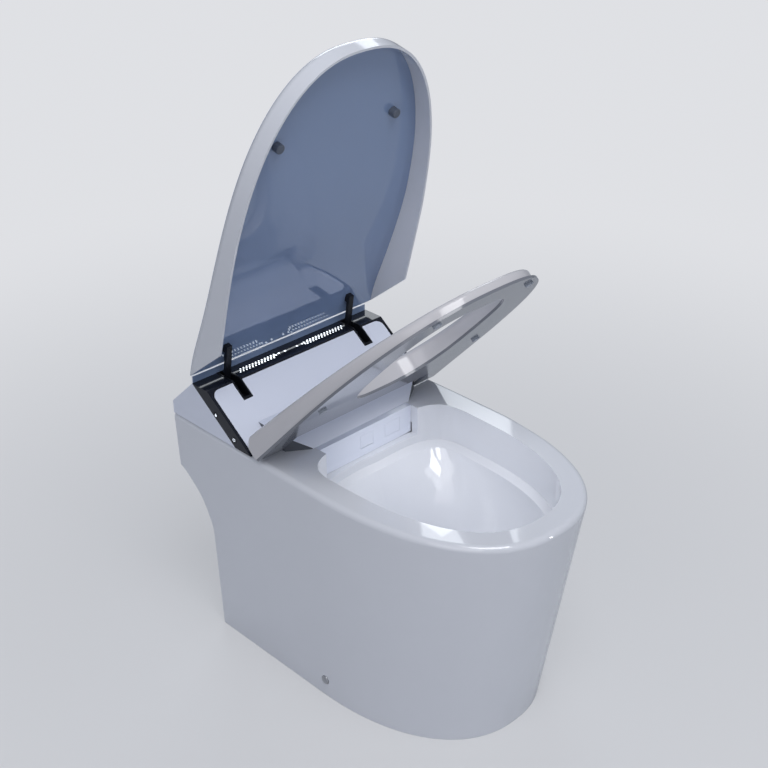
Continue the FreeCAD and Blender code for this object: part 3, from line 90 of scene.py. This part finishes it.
def smooth_finish_group():
    """Slow tint change, gloss change and the faint waviness of a glaze or a moulding."""
    group, entry, leave = new_group(
        "smooth_finish",
        [("Vector", "NodeSocketVector", None), ("Colour", "NodeSocketColor", (0.8, 0.8, 0.8, 1)),
         ("Shade", "NodeSocketColor", (0.7, 0.7, 0.7, 1)), ("Roughness", "NodeSocketFloat", 0.1),
         ("Gloss change", "NodeSocketFloat", 0.03), ("Wave size", "NodeSocketFloat", 6.0),
         ("Wave height", "NodeSocketFloat", 0.02), ("Pore size", "NodeSocketFloat", 900.0),
         ("Pore height", "NodeSocketFloat", 0.0)],
        [("Colour", "NodeSocketColor"), ("Roughness", "NodeSocketFloat"),
         ("Normal", "NodeSocketVector")])
    nodes, links = group.nodes, group.links
    cloud = nodes.new("ShaderNodeTexNoise")
    cloud.inputs["Detail"].default_value = 3.0
    links.new(entry.outputs["Vector"], cloud.inputs["Vector"])
    links.new(entry.outputs["Wave size"], cloud.inputs["Scale"])
    mix = nodes.new("ShaderNodeMix")
    mix.data_type = "RGBA"
    links.new(cloud.outputs["Fac"], mix.inputs[0])
    links.new(entry.outputs["Colour"], mix.inputs[6])
    links.new(entry.outputs["Shade"], mix.inputs[7])
    spread = nodes.new("ShaderNodeMath")
    spread.operation = "MULTIPLY_ADD"
    links.new(cloud.outputs["Fac"], spread.inputs[0])
    links.new(entry.outputs["Gloss change"], spread.inputs[1])
    links.new(entry.outputs["Roughness"], spread.inputs[2])
    pores = nodes.new("ShaderNodeTexNoise")
    pores.inputs["Detail"].default_value = 2.0
    links.new(entry.outputs["Vector"], pores.inputs["Vector"])
    links.new(entry.outputs["Pore size"], pores.inputs["Scale"])
    wave_bump = nodes.new("ShaderNodeBump")
    wave_bump.inputs["Distance"].default_value = 0.002
    links.new(entry.outputs["Wave height"], wave_bump.inputs["Strength"])
    links.new(cloud.outputs["Fac"], wave_bump.inputs["Height"])
    pore_bump = nodes.new("ShaderNodeBump")
    pore_bump.inputs["Distance"].default_value = 0.0004
    links.new(entry.outputs["Pore height"], pore_bump.inputs["Strength"])
    links.new(pores.outputs["Fac"], pore_bump.inputs["Height"])
    links.new(wave_bump.outputs["Normal"], pore_bump.inputs["Normal"])
    links.new(mix.outputs[2], leave.inputs["Colour"])
    links.new(spread.outputs["Value"], leave.inputs["Roughness"])
    links.new(pore_bump.outputs["Normal"], leave.inputs["Normal"])
    return group


def brushed_group():
    """Fine straight lines of brushed or drawn metal."""
    group, entry, leave = new_group(
        "brushed_lines",
        [("Vector", "NodeSocketVector", None), ("Colour", "NodeSocketColor", (0.6, 0.6, 0.6, 1)),
         ("Line", "NodeSocketColor", (0.4, 0.4, 0.4, 1)), ("Roughness", "NodeSocketFloat", 0.25),
         ("Line height", "NodeSocketFloat", 0.15)],
        [("Colour", "NodeSocketColor"), ("Roughness", "NodeSocketFloat"),
         ("Normal", "NodeSocketVector")])
    nodes, links = group.nodes, group.links
    stretch = nodes.new("ShaderNodeMapping")
    stretch.inputs["Scale"].default_value = (40.0, 900.0, 900.0)
    links.new(entry.outputs["Vector"], stretch.inputs["Vector"])
    lines = nodes.new("ShaderNodeTexNoise")
    lines.inputs["Scale"].default_value = 1.0
    lines.inputs["Detail"].default_value = 2.0
    links.new(stretch.outputs["Vector"], lines.inputs["Vector"])
    mix = nodes.new("ShaderNodeMix")
    mix.data_type = "RGBA"
    links.new(lines.outputs["Fac"], mix.inputs[0])
    links.new(entry.outputs["Colour"], mix.inputs[6])
    links.new(entry.outputs["Line"], mix.inputs[7])
    rough = nodes.new("ShaderNodeMath")
    rough.operation = "MULTIPLY_ADD"
    rough.inputs[1].default_value = 0.2
    links.new(lines.outputs["Fac"], rough.inputs[0])
    links.new(entry.outputs["Roughness"], rough.inputs[2])
    bump = nodes.new("ShaderNodeBump")
    bump.inputs["Distance"].default_value = 0.0003
    links.new(entry.outputs["Line height"], bump.inputs["Strength"])
    links.new(lines.outputs["Fac"], bump.inputs["Height"])
    links.new(mix.outputs[2], leave.inputs["Colour"])
    links.new(rough.outputs["Value"], leave.inputs["Roughness"])
    links.new(bump.outputs["Normal"], leave.inputs["Normal"])
    return group


SMOOTH = smooth_finish_group()
BRUSHED = brushed_group()


# ------------------------------------------------------------------ materials
def start_material(name):
    material = bpy.data.materials.new(name)
    material.use_nodes = True
    nodes = material.node_tree.nodes
    place = nodes.new("ShaderNodeTexCoord")
    return material, nodes, material.node_tree.links, nodes["Principled BSDF"], place


def tint(colour, factor):
    return tuple(channel * factor for channel in colour) + (1.0,)


def moulded(name, colour, roughness=0.1, shade=0.94, coat=0.0, waves=6.0, wave_height=0.05,
            pores=900.0, pore_height=0.0, gloss_change=0.04, specular=0.5):
    """A glazed, painted or moulded finish."""
    material, nodes, links, shader, place = start_material(name)
    finish = nodes.new("ShaderNodeGroup")
    finish.node_tree = SMOOTH
    links.new(place.outputs["Object"], finish.inputs["Vector"])
    finish.inputs["Colour"].default_value = tint(colour, 1.0)
    finish.inputs["Shade"].default_value = tint(colour, shade)
    finish.inputs["Roughness"].default_value = roughness
    finish.inputs["Gloss change"].default_value = gloss_change
    finish.inputs["Wave size"].default_value = waves
    finish.inputs["Wave height"].default_value = wave_height
    finish.inputs["Pore size"].default_value = pores
    finish.inputs["Pore height"].default_value = pore_height
    links.new(finish.outputs["Colour"], shader.inputs["Base Color"])
    links.new(finish.outputs["Roughness"], shader.inputs["Roughness"])
    links.new(finish.outputs["Normal"], shader.inputs["Normal"])
    shader.inputs["Coat Weight"].default_value = coat
    shader.inputs["Coat Roughness"].default_value = 0.03
    shader.inputs["Specular IOR Level"].default_value = specular
    return material


def metal(name, colour, roughness=0.25, line=0.75):
    """Brushed or drawn metal."""
    material, nodes, links, shader, place = start_material(name)
    finish = nodes.new("ShaderNodeGroup")
    finish.node_tree = BRUSHED
    links.new(place.outputs["Object"], finish.inputs["Vector"])
    finish.inputs["Colour"].default_value = tint(colour, 1.0)
    finish.inputs["Line"].default_value = tint(colour, line)
    finish.inputs["Roughness"].default_value = roughness
    links.new(finish.outputs["Colour"], shader.inputs["Base Color"])
    links.new(finish.outputs["Roughness"], shader.inputs["Roughness"])
    links.new(finish.outputs["Normal"], shader.inputs["Normal"])
    shader.inputs["Metallic"].default_value = 1.0
    return material


def circuit(name, colour, copper):
    """A printed board with the paths of its tracks."""
    material, nodes, links, shader, place = start_material(name)
    tracks = nodes.new("ShaderNodeTexBrick")
    tracks.inputs["Scale"].default_value = 120.0
    tracks.inputs["Color1"].default_value = tint(colour, 1.0)
    tracks.inputs["Color2"].default_value = tint(colour, 0.8)
    tracks.inputs["Mortar"].default_value = tint(copper, 1.0)
    tracks.inputs["Mortar Size"].default_value = 0.012
    links.new(place.outputs["Object"], tracks.inputs["Vector"])
    links.new(tracks.outputs["Color"], shader.inputs["Base Color"])
    bump = nodes.new("ShaderNodeBump")
    bump.inputs["Distance"].default_value = 0.0002
    bump.inputs["Strength"].default_value = 0.4
    links.new(tracks.outputs["Fac"], bump.inputs["Height"])
    links.new(bump.outputs["Normal"], shader.inputs["Normal"])
    shader.inputs["Roughness"].default_value = 0.35
    return material


def lit(name, colour, strength):
    """A light-emitting diode behind its diffuser, a little brighter at places."""
    material, nodes, links, shader, place = start_material(name)
    glow = nodes.new("ShaderNodeTexNoise")
    glow.inputs["Scale"].default_value = 300.0
    links.new(place.outputs["Object"], glow.inputs["Vector"])
    ramp = nodes.new("ShaderNodeValToRGB")
    ramp.color_ramp.elements[0].color = tint(colour, 0.85)
    ramp.color_ramp.elements[1].color = tint(colour, 1.0)
    links.new(glow.outputs["Fac"], ramp.inputs["Fac"])
    links.new(ramp.outputs["Color"], shader.inputs["Emission Color"])
    links.new(ramp.outputs["Color"], shader.inputs["Base Color"])
    shader.inputs["Emission Strength"].default_value = strength
    shader.inputs["Roughness"].default_value = 0.3
    return material


FINISHES = {
    "glaze": moulded("glaze", (0.74, 0.76, 0.81), 0.05, 0.97, 0.6, 9.0, 0.10, 600.0, 0.02),
    "shell_white": moulded("shell_white", (0.76, 0.80, 0.91), 0.12, 0.97, 0.2, 12.0, 0.05,
                           1400.0, 0.03),
    "lid_white": moulded("lid_white", (0.70, 0.72, 0.77), 0.08, 0.97, 0.4, 8.0, 0.06),
    # lining_painted_shade: the lid's white lining given a dark blue in place of the shade and
    # reflections that lie on it
    "lining_painted_shade": moulded("lining_painted_shade", (0.22, 0.30, 0.47), 0.035, 0.95, 0.8, 5.0, 0.04,
                           gloss_change=0.02),
    "seat_white": moulded("seat_white", (0.62, 0.61, 0.63), 0.12, 0.97, 0.3, 10.0, 0.05,
                          1200.0, 0.03),
    # seat_under_painted_shade: the white seat's underside given a dark grey in place of its shade
    # and the dark it reflects
    "seat_under_painted_shade": moulded("seat_under_painted_shade", (0.20, 0.21, 0.24), 0.10, 0.92, 0.3, 10.0, 0.05),
    "piano_black": moulded("piano_black", (0.010, 0.012, 0.020), 0.08, 0.7, 0.2, 8.0, 0.03,
                           specular=0.3),
    "satin_black": moulded("satin_black", (0.009, 0.010, 0.014), 0.28, 0.7, 0.0, 20.0, 0.05,
                           1600.0, 0.12, specular=0.25),
    # painted_shade_grey: a dark grey that stands in for the shadow on the bridge's white ends
    "painted_shade_grey": moulded("painted_shade_grey", (0.11, 0.12, 0.14), 0.25, 0.85, 0.0, 14.0, 0.05,
                           1500.0, 0.10),
    "inner_grey": moulded("inner_grey", (0.20, 0.21, 0.23), 0.45, 0.85, 0.0, 14.0, 0.05,
                          1500.0, 0.25),
    "smoked": moulded("smoked", (0.008, 0.010, 0.016), 0.04, 0.8, 0.2, 6.0, 0.02,
                      specular=0.3),
    "soft_rubber": moulded("soft_rubber", (0.11, 0.13, 0.17), 0.45, 0.88, 0.0, 30.0, 0.1,
                           1800.0, 0.35),
    "pale_rubber": moulded("pale_rubber", (0.42, 0.46, 0.53), 0.45, 0.88, 0.0, 30.0, 0.1,
                           1800.0, 0.35),
    "black_rubber": moulded("black_rubber", (0.02, 0.02, 0.022), 0.6, 0.7, 0.0, 30.0, 0.1,
                            1800.0, 0.4),
    "steel": metal("steel", (0.55, 0.56, 0.58), 0.22),
    "brass": metal("brass", (0.62, 0.45, 0.20), 0.25),
    "aluminium": metal("aluminium", (0.70, 0.71, 0.73), 0.3),
    "board": circuit("board", (0.012, 0.09, 0.04), (0.45, 0.25, 0.08)),
    "lamp_white": lit("lamp_white", (0.86, 0.93, 1.0), 2.6),
    "icon_white": lit("icon_white", (0.86, 0.92, 1.0), 0.9),
}

NODE_FINISH = {
    "glaze": ["ceramic_bowl"],
    "shell_white": ["housing_shell", "front_panel", "bridge_cover", "wand_housing", "wand_shutter",
                    "wand_tube", "wand_tip", "dryer_flap"],
    "lid_white": ["lid_shell"],
    # the lid's lining and the hinge cover's front get painted shade and painted reflection
    "lining_painted_shade": ["lid_liner", "hinge_cover"],
    "seat_white": ["seat_top"],
    "seat_under_painted_shade": ["seat_base"],
    "piano_black": ["bezel"],
    "satin_black": ["slot_trims", "lid_arm_left", "lid_arm_right", "flush_button", "power_button"],
    "smoked": ["display_lens"],
    "inner_grey": ["chassis", "lid_bearings", "lid_damper", "seat_bearings", "seat_gear_unit",
                   "wand_guide", "fan_case", "heater_tank", "water_pump", "diverter_valve",
                   "flush_valve", "power_supply", "odour_filter", "wand_pinion", "fan_impeller"],
    "soft_rubber": ["lid_bumpers"],
    "pale_rubber": ["seat_bumpers"],
    "black_rubber": ["outlet_seal", "power_gland"],
    "steel": ["floor_brackets", "side_screws", "rear_screws", "lid_motor", "wand_motor",
              "fan_motor", "lid_shaft", "seat_shaft", "seat_clutch", "seat_pins", "screw_caps"],
    "brass": ["inlet_valve", "water_inlet"],
    "aluminium": ["dryer_heater", "seat_heater"],
    "board": ["display_board", "control_board", "button_board"],
}


def paint(obj, finish):
    material = FINISHES[finish]
    if obj.data.materials:
        for index in range(len(obj.data.materials)):
            obj.data.materials[index] = material
    else:
        obj.data.materials.append(material)


for finish, names in NODE_FINISH.items():
    for node_name in names:
        paint(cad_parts[node_name], finish)


def add_finish(node_name, finish):
    """A further finish on a node, for some of its faces."""
    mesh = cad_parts[node_name].data
    mesh.materials.append(FINISHES[finish])
    return mesh.polygons, len(mesh.materials) - 1


def shade_bridge_ends():
    """The slanting end facets of the bridge get painted shade, darker than its top, for the shadow
    they lie in below the seat.
    """
    faces, dark = add_finish("bridge_cover", "painted_shade_grey")
    for face in faces:
        slanting = abs(face.normal.x) > 0.3 and face.normal.z < 0.5
        if slanting and abs(face.center.x) > BRIDGE_END_X * MM:
            # painted shade on the bridge's end facets
            face.material_index = dark


def shade_lid_mouth():
    """The lid's slanting white rear edge gets the lining's painted shade, a dark blue in place of
    the shade there.
    """
    faces, grey = add_finish("lid_shell", "lining_painted_shade")
    for face in faces:
        x, y, z = face.center / MM
        at_mouth = LID_MOUTH_Y[0] < y < LID_MOUTH_Y[1] and LID_MOUTH_Z[0] < z < LID_MOUTH_Z[1]
        if at_mouth and abs(x) < LID_MOUTH_HALF_W:
            # painted shade on the lid shell's white rear edge
            face.material_index = grey


def shade_hinge_cover():
    """The strip behind the bar is white on all sides but its front, towards the lid, which keeps
    the lining's painted shade.
    """
    faces, white = add_finish("hinge_cover", "shell_white")
    for face in faces:
        if face.normal.y > -0.5:
            face.material_index = white


shade_bridge_ends()
shade_lid_mouth()
shade_hinge_cover()


# ------------------------------------------------------------------ modelling helpers
def clear_selection():
    if bpy.context.mode != "OBJECT":
        bpy.ops.object.mode_set(mode="OBJECT")
    bpy.ops.object.select_all(action="DESELECT")


def only(obj):
    clear_selection()
    obj.select_set(True)
    bpy.context.view_layer.objects.active = obj


def settle(obj):
    """Puts the object's place into its mesh."""
    only(obj)
    bpy.ops.object.transform_apply(location=True, rotation=True, scale=True)


def use_modifier(obj, kind, **values):
    only(obj)
    modifier = obj.modifiers.new(kind.lower(), kind)
    for key, value in values.items():
        setattr(modifier, key, value)
    bpy.ops.object.modifier_apply(modifier=modifier.name)


def joined(parts, name):
    clear_selection()
    for part in parts:
        part.select_set(True)
    bpy.context.view_layer.objects.active = parts[0]
    if len(parts) > 1:
        bpy.ops.object.join()
    parts[0].name = name
    parts[0].data.name = name
    return parts[0]


def copy_of(obj, size, place):
    """A copy of a piece modelled one millimetre large at the origin."""
    twin = obj.copy()
    twin.data = obj.data.copy()
    bpy.context.collection.objects.link(twin)
    twin.data.transform(Matrix.Translation(Vector(place) * MM) @ Matrix.Diagonal((*size, 1.0)))
    return twin


def pill(width, length, height, centre, soft):
    """A small bar with rounded ends and edges, in millimetres."""
    clear_selection()
    bpy.ops.mesh.primitive_cube_add(size=1.0, location=Vector(centre) * MM)
    obj = bpy.context.active_object
    obj.scale = (width * MM, length * MM, height * MM)
    settle(obj)
    use_modifier(obj, "BEVEL", width=soft * MM, segments=3, limit_method="ANGLE",
                 angle_limit=math.radians(40))
    return obj


def finish_piece(obj, finish, body):
    paint(obj, finish)
    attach(obj, body)
    return obj


# ------------------------------------------------------------------ the lit row in the bar
def lamp_dots():
    """Three staggered rows of lit dots on both sides of the display's middle."""
    z = BAR_TOP_Z + 0.1
    dot = pill(1.0, 1.0, 1.0, (0, 0, 0), 0.24)
    dots = []
    left = [(LEFT_FIRST_X + LAMP_PITCH * i, LEFT_SIZE + SIZE_STEP * i)
            for i in range(LEFT_COUNT)]
    right = [(RIGHT_FIRST_X + LAMP_PITCH * i, RIGHT_SIZE - SIZE_STEP * i)
             for i in range(RIGHT_COUNT)]
    for x, size in left + right:
        for row in (-1, 0, 1):
            place = (x + row * LAMP_PITCH / 2, LAMP_ROW_Y + row * LAMP_ROWS_APART, z)
            dots.append(copy_of(dot, (size, size, LAMP_HEIGHT), place))
    for x, dy, length in MIDDLE_DOTS:
        place = (x, LAMP_ROW_Y + dy, z)
        dots.append(copy_of(dot, (length, MIDDLE_WIDTH, LAMP_HEIGHT), place))
    bpy.data.objects.remove(dot)
    return finish_piece(joined(dots, "display_lamps"), "lamp_white", "base")


def ring(radius, thick, place, half_gap):
    """An arc of round wire in the plane across X, open at its top by twice the angle."""
    clear_selection()
    bpy.ops.mesh.primitive_torus_add(major_radius=radius * MM, minor_radius=thick * MM,
                                     major_segments=36, minor_segments=8,
                                     location=Vector(place) * MM,
                                     rotation=(0, math.radians(90), 0))
    obj = bpy.context.active_object
    settle(obj)
    mesh = bmesh.new()
    mesh.from_mesh(obj.data)
    middle = Vector(place) * MM
    gone = [v for v in mesh.verts
            if math.degrees(abs(math.atan2(v.co.y - middle.y, v.co.z - middle.z))) < half_gap]
    bmesh.ops.delete(mesh, geom=gone, context="VERTS")
    bmesh.ops.holes_fill(mesh, edges=mesh.edges[:], sides=12)
    mesh.to_mesh(obj.data)
    mesh.free()
    return obj


def button_icons():
    """A drop on the upper button, and an open ring with a bar on the lower one."""
    y, z = BUTTON_PLACES[0]
    clear_selection()
    bpy.ops.mesh.primitive_uv_sphere_add(segments=20, ring_count=14, radius=DROP_R * MM,
                                         location=Vector((ICON_X, y, z - DROP_LOWER)) * MM)
    drop = bpy.context.active_object
    settle(drop)
    for vertex in drop.data.vertices:
        rise = (vertex.co.z / MM - z + DROP_LOWER) / DROP_R
        if rise > 0:
            vertex.co.y += (y * MM - vertex.co.y) * rise ** 1.3
            vertex.co.z += rise ** 2 * 1.7 * MM
        vertex.co.x = ICON_X * MM + (vertex.co.x - ICON_X * MM) * 0.12
    finish_piece(joined([drop], "flush_icon"), "icon_white", "upper_button")
    y, z = BUTTON_PLACES[1]
    arc = ring(RING_R, RING_WIRE_R, (ICON_X, y, z), RING_OPEN_DEG)
    bar = pill(0.6, 2 * RING_WIRE_R, 2.6, (ICON_X, y, z + 2.1), 0.2)
    finish_piece(joined([arc, bar], "power_icon"), "icon_white", "lower_button")


lamp_dots()
button_icons()


# ------------------------------------------------------------------ camera, floor and light
def camera():
    data = bpy.data.cameras.new("view")
    cam = bpy.data.objects.new("view", data)
    bpy.context.collection.objects.link(cam)
    place = Vector(CAMERA_PLACE) * MM
    target = Vector(CAMERA_TARGET) * MM
    back = (place - target).normalized()
    right = Vector((0, 0, 1)).cross(back).normalized()
    up = back.cross(right)
    turn = Matrix((right, up, back)).transposed().to_4x4()
    cam.matrix_world = Matrix.Translation(place) @ turn @ Matrix.Rotation(CAMERA_ROLL, 4, "Z")
    data.sensor_width = SENSOR_MM
    data.sensor_fit = "HORIZONTAL"
    data.lens = FOCAL_PX * SENSOR_MM / IMAGE_PX
    data.clip_end = 50.0
    bpy.context.scene.camera = cam


def floor():
    """A plain pale floor, the same in tone far away and softly shaded near the object."""
    clear_selection()
    bpy.ops.mesh.primitive_plane_add(size=40.0, location=(0, 0, -0.0005))
    obj = bpy.context.active_object
    obj.name = "floor"
    material, nodes, links, shader, place = start_material("floor_pale")
    shader.inputs["Base Color"].default_value = (0.62, 0.63, 0.65, 1)
    shader.inputs["Roughness"].default_value = 0.9
    shader.inputs["Specular IOR Level"].default_value = 0.1
    distance = nodes.new("ShaderNodeVectorMath")
    distance.operation = "LENGTH"
    links.new(place.outputs["Object"], distance.inputs[0])
    fade = nodes.new("ShaderNodeMapRange")
    fade.interpolation_type = "SMOOTHSTEP"
    fade.inputs["From Min"].default_value = 0.35
    fade.inputs["From Max"].default_value = 2.2
    fade.inputs["To Min"].default_value = 0.45
    fade.inputs["To Max"].default_value = 1.0
    links.new(distance.outputs["Value"], fade.inputs["Value"])
    seen = nodes.new("ShaderNodeLightPath")
    share = nodes.new("ShaderNodeMath")
    share.operation = "MULTIPLY"
    links.new(fade.outputs["Result"], share.inputs[0])
    links.new(seen.outputs["Is Camera Ray"], share.inputs[1])
    plain = nodes.new("ShaderNodeEmission")
    plain.inputs["Color"].default_value = BACKDROP
    mix = nodes.new("ShaderNodeMixShader")
    links.new(share.outputs["Value"], mix.inputs["Fac"])
    links.new(shader.outputs["BSDF"], mix.inputs[1])
    links.new(plain.outputs["Emission"], mix.inputs[2])
    links.new(mix.outputs["Shader"], nodes["Material Output"].inputs["Surface"])
    obj.data.materials.append(material)


def lamp(name, place, aim, size, watts, colour=(1, 1, 1)):
    data = bpy.data.lights.new(name, "AREA")
    data.shape = "RECTANGLE"
    data.size, data.size_y = size
    data.energy = watts
    data.color = colour
    obj = bpy.data.objects.new(name, data)
    bpy.context.collection.objects.link(obj)
    obj.location = place
    obj.rotation_euler = (Vector(place) - Vector(aim)).to_track_quat("Z", "Y").to_euler()


def surroundings():
    """Soft light from all sides, seen by the camera as the far floor's plain tone."""
    world = bpy.data.worlds.new("studio")
    world.use_nodes = True
    nodes, links = world.node_tree.nodes, world.node_tree.links
    around = nodes["Background"]
    around.inputs["Color"].default_value = (0.78, 0.84, 0.96, 1)
    around.inputs["Strength"].default_value = 0.34
    plain = nodes.new("ShaderNodeBackground")
    plain.inputs["Color"].default_value = BACKDROP
    seen = nodes.new("ShaderNodeLightPath")
    mix = nodes.new("ShaderNodeMixShader")
    links.new(seen.outputs["Is Camera Ray"], mix.inputs["Fac"])
    links.new(around.outputs["Background"], mix.inputs[1])
    links.new(plain.outputs["Background"], mix.inputs[2])
    links.new(mix.outputs["Shader"], nodes["World Output"].inputs["Surface"])
    bpy.context.scene.world = world


def light():
    middle = (0.0, -0.1, 0.45)
    lamp("key", (-0.6, -1.3, 3.1), middle, (1.5, 1.5), 42.0, (0.98, 0.98, 1.0))
    lamp("fill", (-3.0, -1.6, 1.8), middle, (2.4, 2.4), 18.0, (0.97, 0.95, 0.98))
    lamp("rim", (1.8, 2.2, 2.2), middle, (1.6, 1.6), 20.0, (0.90, 0.95, 1.0))
    lamp("strip", (1.4, -2.6, 0.5), (0.0, -0.3, 0.2), (0.12, 0.9), 5.0)
    lamp("bowl_glow", (0.0, -0.13, 0.47), (0.0, -0.16, 0.2), (0.16, 0.20), 0.17)


camera()
floor()
surroundings()
light()
bpy.context.scene.view_settings.view_transform = "Standard"
